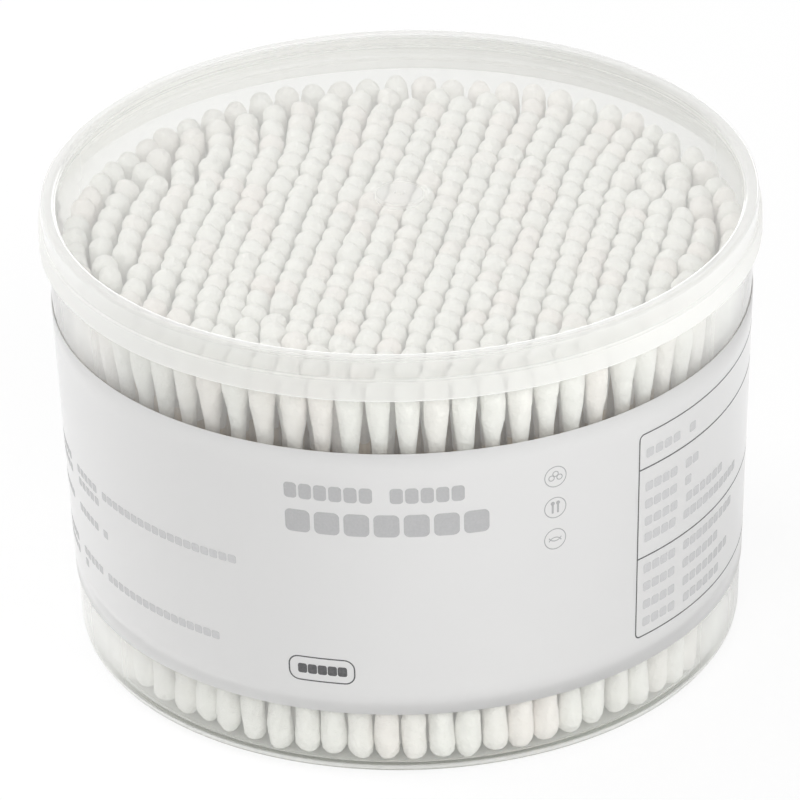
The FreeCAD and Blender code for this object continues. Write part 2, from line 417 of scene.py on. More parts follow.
# %% Sizes of the tub
WALL = 0.8
FOOT_R = 59.15
FOOT_ROUNDING = 2.9
FOOT_INNER_R = 54.75
FOOT_HEIGHT = 0.5
WELL_HEIGHT = 0.8
WELL_R = 4.4
GATE_R = 0.9
FLOOR_TOP = 1.5
INNER_ROUNDING = 2.1
COLLAR_START = 76.0
BEAD_Z = 80.2
TUB_TOP = tub_high.z / MM
BEAD_R = tub_high.x / MM
BEAD_PROUD = 0.2
COLLAR_R = BEAD_R - BEAD_PROUD
WALL_DRAFT = (COLLAR_R - FOOT_R) / COLLAR_START
print("wall opens by", round(math.degrees(math.atan(WALL_DRAFT)), 2), "degrees")

# %% [markdown]
# ## Cotton heads
#
# Each swab has a head of cotton wound on either end: a blunt round tip, a belly as wide as the
# head ever gets, and a long taper down to the stick. Heads are never alike. One is fatter,
# one longer, one a bit bent, and the winding leaves soft lumps. A thousand of them are made, so
# each has only about a hundred faces, and the fine fibres are left to the finish.
#
# Wool is soft. Heads that stand shoulder to shoulder press into each other a little, and where
# the crowd would push one through the tub's wall, its wool is drawn in and lies flat against it.
#
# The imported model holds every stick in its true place, so the heads find their places from the
# sticks. Points that lie within a stick's width of each other belong to one end of one stick,
# and a face that touches two ends tells which ends belong together.

# %% Find the ends of the sticks
# how deep a stick's end lies in its head, and a little more than a stick's width
STICK_INSET = 1.4 * MM
END_REACH = 2.3 * MM
MERGE_DIGITS = 6
COTTON_ROWS = sorted(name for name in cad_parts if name.startswith("cotton_heads_row_"))


def stick_ends(node):
    """Bottom and top end of each stick of a row, as two arrays of points."""
    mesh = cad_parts[node].data
    points = np.empty(len(mesh.vertices) * 3, np.float32)
    mesh.vertices.foreach_get("co", points)
    points = points.reshape(-1, 3).round(MERGE_DIGITS)
    points, place = np.unique(points, axis=0, return_inverse=True)
    gap = np.linalg.norm(points[:, None] - points[None], axis=-1)
    first_near = (gap < END_REACH).argmax(axis=1)
    end = np.unique(first_near, return_inverse=True)[1].reshape(-1)
    centres = np.stack([np.bincount(end, points[:, axis]) for axis in range(3)], axis=-1)
    centres /= np.bincount(end)[:, None]
    corners = np.empty(len(mesh.loops), np.int32)
    mesh.loops.foreach_get("vertex_index", corners)
    ends_of_faces = end[place.reshape(-1)[corners]].reshape(-1, 3)
    pairs = np.stack([ends_of_faces, np.roll(ends_of_faces, 1, axis=1)], axis=-1)
    pairs = pairs.reshape(-1, 2)
    pairs = pairs[centres[pairs[:, 0], 2] < centres[pairs[:, 1], 2] - END_REACH]
    pairs = np.unique(pairs, axis=0)
    return centres[pairs[:, 0]], centres[pairs[:, 1]]


row_ends = {name: stick_ends(name.replace("cotton_heads", "swab_sticks"))
            for name in COTTON_ROWS}
lengths = np.concatenate([np.linalg.norm(top - bottom, axis=1)
                          for bottom, top in row_ends.values()])
print("sticks", len(lengths), "length in mm", lengths.min() / MM, "to", lengths.max() / MM)

# %% Shape of a wound head
HEAD_COLUMNS = 12
HEAD_RINGS = np.array([0.14, 0.7, 1.6, 2.9, 5.4, 8.6, 12.2, 16.3]) * MM
HEAD_LENGTH = 16.5 * MM
DOME_HEIGHT = 2.6 * MM
NECK_R = 1.25 * MM
# radius of the belly, and how far from the tip the belly ends and the neck starts
TOP_HEAD = np.array([2.45, 4.0, 16.0]) * MM
BOTTOM_HEAD = np.array([2.45, 7.2, 13.0]) * MM
# direction of the rows, how much longer a head is along them, and room left to the wall in mm
CHAIN_TURN = math.radians(10)
CHAIN_PRESS = 0.08
WOOL_GAP = 0.05
# how much heads differ in length and in width
LENGTH_SPREAD = 0.035
FATNESS_SPREAD = 0.02
LEAST_FATNESS, MOST_FATNESS = 0.95, 1.03
# swell of the waves that go twice and three times round, and lengths that turn them by a radian
TWO_LUMPS = 0.06
THREE_LUMPS = 0.055
TWO_TWIST = 2.2 * MM
THREE_TWIST = 1.6 * MM
# slant of the pressed tip, how deep it reaches, and the bow of the middle line
SLANT = 0.15
SLANT_DEPTH = 1.5 * MM
BOW = 0.09 * MM
# how deep the tip's pole lies, and how much deeper than planned all rings lie
POLE_DEPTH = 0.1 * MM
RING_DEPTH = 0.15 * MM
chance = np.random.default_rng(41)


def head_radius(along, belly, belly_end, neck_start):
    """Radius of a head at a distance from its tip.

    The tip is half a ball: the root of one minus the square of the way still to go to its foot.
    Then the head holds the belly's radius, and then it falls to the neck's radius along half a
    wave of a cosine, which ends where the neck starts.
    """
    dome = np.sqrt(1 - (1 - np.clip(along / DOME_HEIGHT, 0, 1)) ** 2)
    past_belly = np.clip((along - belly_end) / (neck_start - belly_end), 0, 1)
    fall = 0.5 + 0.5 * np.cos(np.pi * past_belly)
    return dome * (NECK_R + (belly - NECK_R) * fall)


def inside_wall(points):
    """Points of the wool drawn in to the tub's wall where they would reach into it.

    The wall's inner radius grows with the height by its draft. In the rounding over the floor it
    falls back by a quarter circle: the rounding less the root of its square less the depth squared.
    """
    height = points[..., 2] / MM
    depth = np.clip(FLOOR_TOP + INNER_ROUNDING - height, 0, INNER_ROUNDING)
    fall_back = INNER_ROUNDING - np.sqrt(INNER_ROUNDING ** 2 - depth ** 2)
    limit = (FOOT_R - WALL + WALL_DRAFT * height - fall_back - WOOL_GAP) * MM
    shrink = np.minimum(1, limit / np.linalg.norm(points[..., :2], axis=-1))
    return points * np.stack([shrink, shrink, np.ones_like(shrink)], axis=-1)


def wound_heads(tips, ways, shape):
    """Points of heads of one shape, with those tips and those directions from tip to neck.

    A ring's point is tip + way times the distance along + sideways times the radius. The radius
    is swollen by two slow waves round the head, each with its own phase, and the sideways
    direction turns once through all the columns. Every second ring is turned by half a column,
    like bricks in a chimney, which keeps the outline round. A third wave, the same on all heads,
    makes each a little longer along the row it stands in, where its neighbours touch it. A
    head's middle line bows by a sine of the distance along, and its tip is pressed a little
    slanting, by a cosine round the head. One more phase is drawn than is used.
    """
    count = len(tips)
    belly, belly_end, neck_start = shape
    across = unit(np.cross(ways, (1.0, 0.0, 0.0)))
    other = np.cross(ways, across)
    stretch = chance.normal(1.0, LENGTH_SPREAD, (count, 1, 1))
    fatness = chance.normal(1.0, FATNESS_SPREAD, (count, 1, 1))
    fatness = belly * fatness.clip(LEAST_FATNESS, MOST_FATNESS)
    along = HEAD_RINGS[None, :, None] * stretch
    angle = np.linspace(0, 2 * np.pi, HEAD_COLUMNS, endpoint=False)[None, None, :]
    every_second = (np.arange(len(HEAD_RINGS)) % 2)[None, :, None]
    angle = angle + np.pi / HEAD_COLUMNS * every_second
    phase = chance.uniform(0, 2 * np.pi, (4, count, 1, 1))
    lumps = TWO_LUMPS * np.sin(2 * angle + phase[0] + along / TWO_TWIST)
    lumps += THREE_LUMPS * np.sin(3 * angle + phase[1] - along / THREE_TWIST)
    lumps += CHAIN_PRESS * np.cos(2 * angle - 2 * CHAIN_TURN)
    radius = head_radius(along / stretch, fatness, belly_end, neck_start) * (1 + lumps)
    slant = chance.normal(0, SLANT, (count, 1, 1)) * radius * np.exp(-along / SLANT_DEPTH)
    along = along + slant * np.cos(angle + phase[2]) + RING_DEPTH
    bow = np.sin(np.pi * along / HEAD_LENGTH) * chance.normal(0, BOW, (count, 1, 1))
    side = radius * np.cos(angle) + bow
    rise = radius * np.sin(angle)
    rings = (tips[:, None, None] + along[..., None] * ways[:, None, None]
             + side[..., None] * across[:, None, None] + rise[..., None] * other[:, None, None])
    rings = rings.reshape(count, -1, 3)
    poles = tips + POLE_DEPTH * ways
    necks = tips + ways * HEAD_LENGTH * stretch[:, :, 0]
    return np.concatenate([poles[:, None], rings, necks[:, None]], axis=1)


def point_values(mesh, name, values):
    """Keeps one number for each point of a mesh, under a name that a finish can ask for."""
    layer = mesh.attributes.new(name, "FLOAT", "POINT")
    layer.data.foreach_set("value", np.ascontiguousarray(values, np.float32).reshape(-1))


def cotton_row(node, material):
    """One piece with all heads of a row, top and bottom.

    Each point keeps how far along its head it lies, and each head keeps a tone of its own.
    """
    bottom, top = row_ends[node]
    up = unit(top - bottom)
    top_heads = wound_heads(top + up * STICK_INSET, -up, TOP_HEAD)
    bottom_heads = wound_heads(bottom - up * STICK_INSET, up, BOTTOM_HEAD)
    heads = inside_wall(np.concatenate([top_heads, bottom_heads]))
    each = heads.shape[1]
    shift = (np.arange(len(heads)) * each)[:, None, None]
    polygons = [(shift + faces).reshape(-1, faces.shape[1])
                for faces in tube_faces(len(HEAD_RINGS), HEAD_COLUMNS)]
    mesh = poly_mesh(node.replace("heads", "wool"), heads.reshape(-1, 3), polygons)
    along = np.concatenate([[0], np.repeat(HEAD_RINGS, HEAD_COLUMNS), [HEAD_LENGTH]])
    point_values(mesh, "along", np.tile(along / HEAD_LENGTH, len(heads)))
    point_values(mesh, "tone", np.repeat(chance.uniform(0, 1, len(heads)), each))
    return new_piece(mesh, material, "tub", "cotton", node)


# %% Cotton finish
COTTON_WHITE = (0.97, 0.968, 0.935, 1)
COTTON_GREY = (0.89, 0.888, 0.855, 1)
COTTON_WARM = (0.95, 0.90, 0.865, 1)
COTTON_OVER_WOOD = (0.85, 0.74, 0.64, 1)
# stands in for the light that wanders through the cotton into the gaps
COTTON_GLOW = 0.035
FIBRE_SCALE = 1500
FIBRE_SQUEEZE = (1, 1, 3.5)
FIBRE_HEIGHT = 0.35
TUFT_SCALE = 520
TUFT_RELIEF = 0.8
TUFT_HEIGHT = 0.8 * MM
# tones from here on are warm, and heads are thin from here along to the neck
WARM_FROM = 0.55
THIN_FROM = 0.72
MOST_TINT = 0.7


def cotton_finish():
    """Matt white cotton, with fibres wound round the head as fine ridges and small soft tufts.

    The tufts go from grey to white. Some heads are a little warmer, by their tone, and all of
    them turn towards the colour of wood where the wool thins out over the stick.
    """
    finish = new_finish("wound_cotton")
    place = place_on(finish)
    flat = finish.node("ShaderNodeMapping", {}, {"Vector": place, "Scale": FIBRE_SQUEEZE})
    fibres = noise(finish, flat, FIBRE_SCALE, 3.0, Roughness=0.6)
    tufts = noise(finish, place, TUFT_SCALE, 3.0)
    warmth = ramped(finish, kept_value(finish, "tone"), WARM_FROM, 1.0, 0.0, MOST_TINT)
    thinness = ramped(finish, kept_value(finish, "along"), THIN_FROM, 1.0, 0.0, MOST_TINT)
    colour = blended(finish, tufts, COTTON_GREY, COTTON_WHITE)
    colour = blended(finish, warmth, colour, COTTON_WARM)
    colour = blended(finish, thinness, colour, COTTON_OVER_WOOD)
    normal = bumps(finish, fibres * FIBRE_HEIGHT + tufts, TUFT_RELIEF, TUFT_HEIGHT)
    surface = finish.node("ShaderNodeBsdfPrincipled", {}, {
        "Base Color": colour, "Roughness": 0.95, "Sheen Weight": 0.2, "Sheen Roughness": 0.5,
        "Specular IOR Level": 0.1, "Emission Color": WHITE, "Emission Strength": COTTON_GLOW,
        "Normal": normal})
    return finish.end(surface)


cotton = cotton_finish()
for node in COTTON_ROWS:
    cotton_row(node, cotton)
print("cotton rows", len(COTTON_ROWS), "heads", 2 * len(lengths))

# %% [markdown]
# ## Bamboo sticks
#
# The sticks are split from bamboo and turned round. They were already modelled true to size and
# place, so they stay as they are and only get a finish. Bamboo shows fine strands that run along
# the stick, so the noise is squeezed across the stick and drawn out along its height.

# %% Bamboo
BAMBOO_DARK = (0.62, 0.46, 0.30, 1)
BAMBOO_PALE = (0.88, 0.76, 0.58, 1)
STRAND_SCALE = 3200
STRAND_STRETCH = (1, 1, 0.04)
STRAND_RELIEF = 0.4
STRAND_HEIGHT = 0.1 * MM


def bamboo_finish():
    """Split bamboo: pale tan, with darker strands that run along the stick."""
    finish = new_finish("split_bamboo")
    grain = finish.node("ShaderNodeMapping", {}, {
        "Vector": place_on(finish), "Scale": STRAND_STRETCH})
    strands = noise(finish, grain, STRAND_SCALE, 3.0)
    shade = blended(finish, strands, BAMBOO_DARK, BAMBOO_PALE)
    normal = bumps(finish, strands, STRAND_RELIEF, STRAND_HEIGHT)
    surface = finish.node("ShaderNodeBsdfPrincipled", {},
                          {"Base Color": shade, "Roughness": 0.6, "Normal": normal})
    return finish.end(surface)


bamboo = bamboo_finish()
for name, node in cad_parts.items():
    if name.startswith("swab_sticks_row_"):
        node.data.materials.clear()
        node.data.materials.append(bamboo)
print("bamboo rows", sum(name.startswith("swab_sticks_row_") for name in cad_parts))

# %% [markdown]
# ## Turned mouldings
#
# The tub and the lid are thin mouldings of revolution. They could be lathed with a Screw
# modifier, but a potter's template in numbers gives more control: one outline of rounded
# corners, swung round the axis. The outline runs from the axis on one face, out and round the
# edge, and back to the axis on the other face, so the wall has its real thickness. The flat
# stretches keep a point close to each rounding, which stops the shading from creeping.

# %% Outline and turning
TURN_COLUMNS = 256
ARC_STEPS = 4
# how far beyond a rounding its extra point lies, in mm
SUPPORT = 0.03


def rounded_outline(corners):
    """Points of an outline in mm through (radius, height, rounding) corners, ends left sharp.

    An arc that rounds a corner touches its two sides at a distance of rounding / tangent of half
    the corner's angle. The arc's points are blends of the two lines from its centre to its ends,
    weighted by the sines of the turn still to go and of the turn already gone.
    """
    corners = np.array(corners, float)
    corner, rounding = corners[1:-1, :2], corners[1:-1, 2:]
    back, on = unit(corners[:-2, :2] - corner), unit(corners[2:, :2] - corner)
    half = np.arccos((back * on).sum(axis=1, keepdims=True)) / 2
    reach = rounding / np.tan(half)
    centre = corner + unit(back + on) * rounding / np.sin(half)
    first, last = corner + back * reach - centre, corner + on * reach - centre
    turn = np.pi - 2 * half
    share = np.linspace(0, 1, ARC_STEPS + 1)[None]
    arcs = (np.sin(turn * (1 - share))[..., None] * first[:, None]
            + np.sin(turn * share)[..., None] * last[:, None]) / np.sin(turn)[..., None]
    arcs += centre[:, None]
    before, after = corner + back * (reach + SUPPORT), corner + on * (reach + SUPPORT)
    points = np.concatenate([before[:, None], arcs, after[:, None]], axis=1).reshape(-1, 2)
    return np.concatenate([corners[:1, :2], points, corners[-1:, :2]]) * MM


def turned_mesh(name, corners):
    """Closed mesh of revolution: every point of the outline goes once round the axis.

    A point at a radius and a height becomes a ring: the radius times the cosine and the sine of
    the angle, at that height. The outline's two ends lie on the axis and become the poles.
    """
    outline = rounded_outline(corners)
    angle = np.linspace(0, 2 * np.pi, TURN_COLUMNS, endpoint=False)
    radius, height = outline[1:-1, :1], outline[1:-1, 1:]
    rings = np.stack([radius * np.cos(angle), radius * np.sin(angle), height + 0 * angle], axis=-1)
    first_pole, last_pole = [[(0, 0, height)] for height in outline[[0, -1], 1]]
    points = np.concatenate([first_pole, rings.reshape(-1, 3), last_pole])
    mesh = poly_mesh(name, points, tube_faces(len(outline) - 2, TURN_COLUMNS))
    volume = round(mesh_volume(mesh) / MM ** 3)
    print(name, "faces", len(mesh.polygons), "wall volume in mm3", volume)
    return mesh


def mesh_volume(mesh):
    """Volume inside a closed mesh: a sixth of the sum of triple products over its triangles."""
    mesh.calc_loop_triangles()
    corners = np.empty(len(mesh.loop_triangles) * 3, np.int32)
    mesh.loop_triangles.foreach_get("vertices", corners)
    points = np.empty(len(mesh.vertices) * 3, np.float32)
    mesh.vertices.foreach_get("co", points)
    a, b, c = points.reshape(-1, 3)[corners.reshape(-1, 3)].transpose(1, 0, 2).astype(float)
    return (a * np.cross(b, c)).sum() / 6


# %% Tub outline
GATE_DEPTH = 0.2
WELL_SLOPE = 0.4
FOOT_SLOPE = 0.3
COLLAR_BEND = 4.0
BEAD_HALF = 0.4
MOULD_SLOPE = 0.05

tub_mesh = turned_mesh("tub_moulding", [
    # radius, height and rounding of each corner, from the middle of the underside outwards
    (0, WELL_HEIGHT - GATE_DEPTH, 0),
    (GATE_R, WELL_HEIGHT - GATE_DEPTH, 0.1),
    (GATE_R, WELL_HEIGHT, 0.05),
    (WELL_R - WELL_SLOPE, WELL_HEIGHT, 0.2),
    (WELL_R, FOOT_HEIGHT, 0.2),
    (FOOT_INNER_R - FOOT_SLOPE, FOOT_HEIGHT, 0.3),
    (FOOT_INNER_R, 0, 0.2),
    (FOOT_R, 0, FOOT_ROUNDING),
    (COLLAR_R, COLLAR_START, COLLAR_BEND),
    (COLLAR_R, BEAD_Z - BEAD_HALF, 0.12),
    (BEAD_R, BEAD_Z, 0.25),
    (COLLAR_R, BEAD_Z + BEAD_HALF, 0.12),
    (COLLAR_R, TUB_TOP, 0.3),
    (COLLAR_R - WALL + MOULD_SLOPE, TUB_TOP, 0.3),
    (COLLAR_R - WALL, COLLAR_START, COLLAR_BEND),
    (FOOT_R + WALL_DRAFT * FLOOR_TOP - WALL, FLOOR_TOP, INNER_ROUNDING),
    (0, FLOOR_TOP, 0),
])

# %% Lid outline
LID_TOP = lid_high.z / MM
SKIRT_R = lid_high.x / MM - MOULD_SLOPE
SKIRT_BOTTOM = lid_low.z / MM
RIM_HEIGHT = 1.3
PANEL = 0.9
PANEL_TOP = LID_TOP - RIM_HEIGHT
PANEL_BOTTOM = PANEL_TOP - PANEL
BOSS_RISE = 0.15
BOSS_TOP = PANEL_TOP + BOSS_RISE
BOSS_SLOPE = 0.15
BOSS_R = 5.1
GATE_RISE = 0.3
GATE_SLOPE = 0.2
RIM_INNER_R = 60.7
RIM_OUTER_R = 63.05
SKIRT_INNER_R = 62.75
# the skirt steps in to the rim: at this height inside, and from below it to above it outside
STEP_Z = 80.9
STEP_INSIDE = 0.3
STEP_BELOW = 0.2
STEP_ABOVE = 0.1
SNAP_Z = 79.2
SNAP_R = 62.55
SNAP_HALF = 0.6
# the hollow behind the rim, which the tub's collar goes into
CHANNEL_ROOF = 84.0
CHANNEL_OUTER_R = 62.35
CHANNEL_INNER_R = 61.3

lid_mesh = turned_mesh("lid_moulding", [
    # radius, height and rounding of each corner, from the middle of the panel's underside
    (0, PANEL_BOTTOM, 0),
    (CHANNEL_INNER_R - MOULD_SLOPE, PANEL_BOTTOM, 0.2),
    (CHANNEL_INNER_R, CHANNEL_ROOF, 0.3),
    (CHANNEL_OUTER_R - MOULD_SLOPE, CHANNEL_ROOF, 0.3),
    (CHANNEL_OUTER_R, STEP_Z + STEP_INSIDE, 0.12),
    (SKIRT_INNER_R, STEP_Z, 0.12),
    (SKIRT_INNER_R, SNAP_Z + SNAP_HALF, 0.12),
    (SNAP_R, SNAP_Z, 0.3),
    (SKIRT_INNER_R, SNAP_Z - SNAP_HALF, 0.12),
    (SKIRT_INNER_R + MOULD_SLOPE, SKIRT_BOTTOM, 0.2),
    (SKIRT_R + MOULD_SLOPE, SKIRT_BOTTOM, 0.3),
    (SKIRT_R, STEP_Z - STEP_BELOW, 0.2),
    (RIM_OUTER_R + MOULD_SLOPE, STEP_Z + STEP_ABOVE, 0.2),
    (RIM_OUTER_R, LID_TOP, 0.7),
    (RIM_INNER_R, LID_TOP, 0.8),
    (RIM_INNER_R, PANEL_TOP, 0.5),
    (BOSS_R + BOSS_SLOPE, PANEL_TOP, 0.12),
    (BOSS_R, BOSS_TOP, 0.12),
    (GATE_R, BOSS_TOP, 0.1),
    (GATE_R - GATE_SLOPE, BOSS_TOP + GATE_RISE, 0.08),
    (0, BOSS_TOP + GATE_RISE, 0),
])

# %% [markdown]
# ## Clear plastic
#
# Clear polypropylene does three things: it lets most light straight through, it scatters a
# little of it, which looks like milk in water, and its faces mirror the room, more so at a
# slant. The finish mixes exactly those. Milk grows with the length of the way through the wall,
# and a slanted ray also meets more of the faces' fine texture, so milk is one minus the wall's
# clearness to the power of one over a power of the cosine of the slant.
#
# A wall this thin hardly bends light, so it is see-through instead of glass, and the lamps reach
# the cotton without noise. What that leaves out is put back where it shows: the tub's foot, a
# solid corner, has a deeper tint that is also painted shade for the dark contact the corner bends
# into view, and a milkier line over it, partly frost and partly a painted highlight; the lid's rim
# and skirt are frosted, and its boss is a bit cloudy.

# %% Clear plastic
LID_CLEAR = (0.985, 0.985, 0.98, 1)
TUB_CLEAR = (0.97, 0.972, 0.966, 1)
# the foot's deeper tint, darkened further as painted shade for the contact shadow seen through the
# thick corner
FOOT_SHADE_TINT = (0.7, 0.71, 0.67, 1)
PLASTIC_MILK = (0.95, 0.95, 0.94, 1)
LEAST_SLANT = 0.3
SLANT_POWER = 2.3
# share of light that a face mirrors head on, and how fast that grows with the slant
HEAD_ON_MIRROR = 0.04
MIRROR_POWER = 4
PLASTIC_ROUGHNESS = 0.04


def part_of(finish, place, axis):
    """One of the three numbers of a place."""
    return finish.node("ShaderNodeSeparateXYZ", {}, {"Vector": place}, axis)


def from_axis(finish, place):
    """Distance from the pack's axis, by Pythagoras."""
    x, y = part_of(finish, place, "X"), part_of(finish, place, "Y")
    return (x * x + y * y) ** 0.5


def see_through(finish, tint):
    """Plain see-through shader with a tint."""
    return finish.node("ShaderNodeBsdfTransparent", {}, {"Color": tint})


def clear_plastic(finish, clear, haze, shine, bump):
    """Surface of clear plastic, from its see-through shader and its relief.

    Haze is the milk of one face that is looked at head on, and shine is the share of the mirror
    image that is left. The mirror grows from its head-on share with a power of the slant.
    """
    facing = finish.node("ShaderNodeLayerWeight", {}, {"Blend": 0.5}, "Facing")
    milk = 1 - (1 - haze) ** (1 / (1 - facing).at_least(LEAST_SLANT) ** SLANT_POWER)
    front = finish.node("ShaderNodeBsdfDiffuse", {}, {"Color": PLASTIC_MILK})
    back = finish.node("ShaderNodeBsdfTranslucent", {}, {"Color": PLASTIC_MILK})
    body = mixed(finish, milk, clear, mixed(finish, 0.5, front, back))
    gloss = finish.node("ShaderNodeBsdfGlossy", {}, {
        "Color": WHITE, "Roughness": PLASTIC_ROUGHNESS, "Normal": bump})
    mirror = shine * (HEAD_ON_MIRROR + (1 - HEAD_ON_MIRROR) * facing ** MIRROR_POWER)
    return finish.end(mixed(finish, mirror, body, gloss))


# %% Tub and lid finishes
# slow waves that the flow of the plastic leaves
WAVE_SCALE = 60
WAVE_HEIGHT = 0.4 * MM
TUB_WAVES = 0.15
LID_WAVES = 0.25
# swirls round the gate
SWIRL_SCALE = 420
SWIRL_TWIST = 2.5
# haze of each place, and how much of the shine the foot and the skirt lose; at the foot that loss
# is part of its painted shade
TUB_HAZE = 0.04
# extra milk of the line over the foot, partly frost and partly a painted highlight for its glint
GLINT_LINE_HAZE = 0.35
FOOT_SHADE_DULLNESS = 0.85
PANEL_HAZE = 0.015
BOSS_HAZE = 0.05
RIM_HAZE = 0.21
SKIRT_HAZE = 0.14
SKIRT_DULLNESS = 0.8
# heights in mm where the foot's painted shade is whole and gone, and where the line over it, a
# painted highlight, begins and is whole
FOOT_SHADE_SPAN = (1.0, 1.5)
GLINT_LINE_SPAN = (2.5, 1.9)
# room in mm over which boss, rim and skirt fade in
BOSS_FADE = 1.2
RIM_FADE_IN = 0.5
RIM_FADE_OUT = 0.3
SKIRT_FADE = 0.2


def tub_finish():
    """Thin drafted wall: nearly clear, with slow waves, a foot darkened as painted shade and a
    milkier line over it, partly a painted highlight.
    """
    finish = new_finish("tub_plastic")
    place = place_on(finish)
    waves = noise(finish, place, WAVE_SCALE, 1.0)
    bump = bumps(finish, waves, TUB_WAVES, WAVE_HEIGHT)
    height = part_of(finish, place, "Z")
    # painted shade: the foot is darkened and loses its shine; the milkier line over it is partly a
    # painted highlight
    in_shaded_foot = faded(finish, height, FOOT_SHADE_SPAN[0] * MM, FOOT_SHADE_SPAN[1] * MM, 1.0, 0.0)
    in_glint_line = faded(finish, height, GLINT_LINE_SPAN[0] * MM, GLINT_LINE_SPAN[1] * MM, 0.0, 1.0)
    clear = mixed(finish, in_shaded_foot, see_through(finish, TUB_CLEAR), see_through(finish, FOOT_SHADE_TINT))
    haze = TUB_HAZE + in_glint_line * (1 - in_shaded_foot) * GLINT_LINE_HAZE
    return clear_plastic(finish, clear, haze, 1 - in_shaded_foot * FOOT_SHADE_DULLNESS, bump)


def lid_finish():
    """Polished clear panel with a cloudy gate boss, and a frosted rim and skirt."""
    finish = new_finish("lid_plastic")
    place = place_on(finish)
    radius = from_axis(finish, place)
    height = part_of(finish, place, "Z")
    waves = noise(finish, place, WAVE_SCALE, 1.0)
    swirl = noise(finish, place, SWIRL_SCALE, 3.0, Distortion=SWIRL_TWIST)
    in_boss = faded(finish, radius, (BOSS_R - BOSS_FADE) * MM, BOSS_R * MM, 1.0, 0.0)
    rim_start, rim_whole = RIM_INNER_R - RIM_FADE_IN, RIM_INNER_R + RIM_FADE_OUT
    in_rim = faded(finish, radius, rim_start * MM, rim_whole * MM, 0.0, 1.0)
    in_skirt = faded(finish, height, (STEP_Z + SKIRT_FADE) * MM, STEP_Z * MM, 0.0, 1.0)
    haze = PANEL_HAZE + in_boss * BOSS_HAZE + in_rim * RIM_HAZE + in_skirt * SKIRT_HAZE
    relief = (waves + in_boss * swirl) * (1 - in_rim)
    bump = bumps(finish, relief, LID_WAVES, WAVE_HEIGHT)
    shine = 1 - in_skirt * SKIRT_DULLNESS
    return clear_plastic(finish, see_through(finish, LID_CLEAR), haze, shine, bump)


new_piece(tub_mesh, tub_finish(), "tub", "tub_plastic", "tub")
new_piece(lid_mesh, lid_finish(), "lid", "lid_plastic", "lid")

# %% [markdown]
# ## Label
#
# A strip of coated paper goes round the drafted wall and meets itself at the back. On a cone, a
# strip's radius grows with its height, at the same draft as the wall, and the strip is a plain
# grid of points. A Solidify modifier gives it a thickness inwards, with the glue as part of it.
# Paper lets a little light through, and its varnish shines where it is seen at a slant.

# %% Paper strip
LABEL_THICKNESS = 0.2 * MM
LABEL_COLUMNS = 240
LABEL_ROWS = 12
SEAM_HALF = math.radians(0.4)
label_bottom, label_top = label_low.z, label_high.z
label_top_r = (label_high.x - label_low.x) / 2


def label_radius(height):
    """Outer radius of the label at a height: the radius at its top, less the draft below it."""
    return label_top_r + (height - label_top) * WALL_DRAFT


def on_label(azimuth, height, lift):
    """Points at an angle round the label and a height, lifted off its face."""
    radius = label_radius(height) + lift
    return np.stack([radius * np.cos(azimuth), radius * np.sin(azimuth), height], axis=-1)


def sheet_faces(rows, columns):
    """Four-sided faces of an open grid of rows by columns points."""
    row, column = np.mgrid[:rows - 1, :columns - 1]
    first = row * columns + column
    faces = np.stack([first, first + 1, first + columns + 1, first + columns], axis=-1)
    return faces.reshape(-1, 4)


# %% Paper finish
PAPER_DARK = (0.785, 0.785, 0.785, 1)
PAPER_PALE = (0.815, 0.815, 0.812, 1)
PAPER_CLOUDS = 35
PAPER_FIBRES = 900
CLOUD_RELIEF = 6
PAPER_RELIEF = 0.12
PAPER_HEIGHT = 0.1 * MM
PAPER_ROUGHNESS = 0.42
FIBRE_ROUGHNESS = 0.1
PAPER_GLOW = (0.8, 0.79, 0.77, 1)
PAPER_THINNESS = 0.3
VARNISH = 0.8
VARNISH_POWER = 3
VARNISH_ROUGHNESS = 0.3


def paper_finish():
    """Coated paper: pale grey, half matt, with a faint unevenness of its fibres and a varnish."""
    finish = new_finish("coated_paper")
    place = place_on(finish)
    fibres = noise(finish, place, PAPER_FIBRES, 4.0)
    clouds = noise(finish, place, PAPER_CLOUDS, 2.0)
    shade = blended(finish, clouds, PAPER_DARK, PAPER_PALE)
    bump = bumps(finish, fibres + clouds * CLOUD_RELIEF, PAPER_RELIEF, PAPER_HEIGHT)
    roughness = PAPER_ROUGHNESS + fibres * FIBRE_ROUGHNESS
    face = finish.node("ShaderNodeBsdfPrincipled", {}, {
        "Base Color": shade, "Roughness": roughness, "Normal": bump})
    glow = finish.node("ShaderNodeBsdfTranslucent", {}, {"Color": PAPER_GLOW})
    body = mixed(finish, PAPER_THINNESS, face, glow)
    facing = finish.node("ShaderNodeLayerWeight", {}, {"Blend": 0.5}, "Facing")
    varnish = finish.node("ShaderNodeBsdfGlossy", {}, {
        "Color": WHITE, "Roughness": VARNISH_ROUGHNESS})
    surface = mixed(finish, VARNISH * facing ** VARNISH_POWER, body, varnish)
    return finish.end(surface)


# %% Label round the wall
turns = np.linspace(math.pi / 2 + SEAM_HALF, math.pi * 2.5 - SEAM_HALF, LABEL_COLUMNS)
heights = np.linspace(label_bottom, label_top, LABEL_ROWS)
round_label, up_label = np.meshgrid(turns, heights)
label_mesh = poly_mesh("label_strip", on_label(round_label, up_label, 0).reshape(-1, 3),
                       [sheet_faces(LABEL_ROWS, LABEL_COLUMNS)])
label_piece = new_piece(label_mesh, paper_finish(), "tub", "label_paper", "label")
solid = label_piece.modifiers.new("thickness", "SOLIDIFY")
solid.thickness = LABEL_THICKNESS
solid.offset = -1
print("label faces", len(label_mesh.polygons))

# %% [markdown]
# ## Print on the label
#
# The print is generic: bars and blocks where a real pack has words, plain icons in rings, and a
# ruled box for the facts. Every mark is a ribbon, that is a path on the unrolled label with a
# width that may change along it. A straight path whose width shrinks at both ends is a bar with
# round corners, a circle is a ring, and a closed path with round corners is a box. The ribbons
# are then rolled onto the cone, a hair proud of the paper.

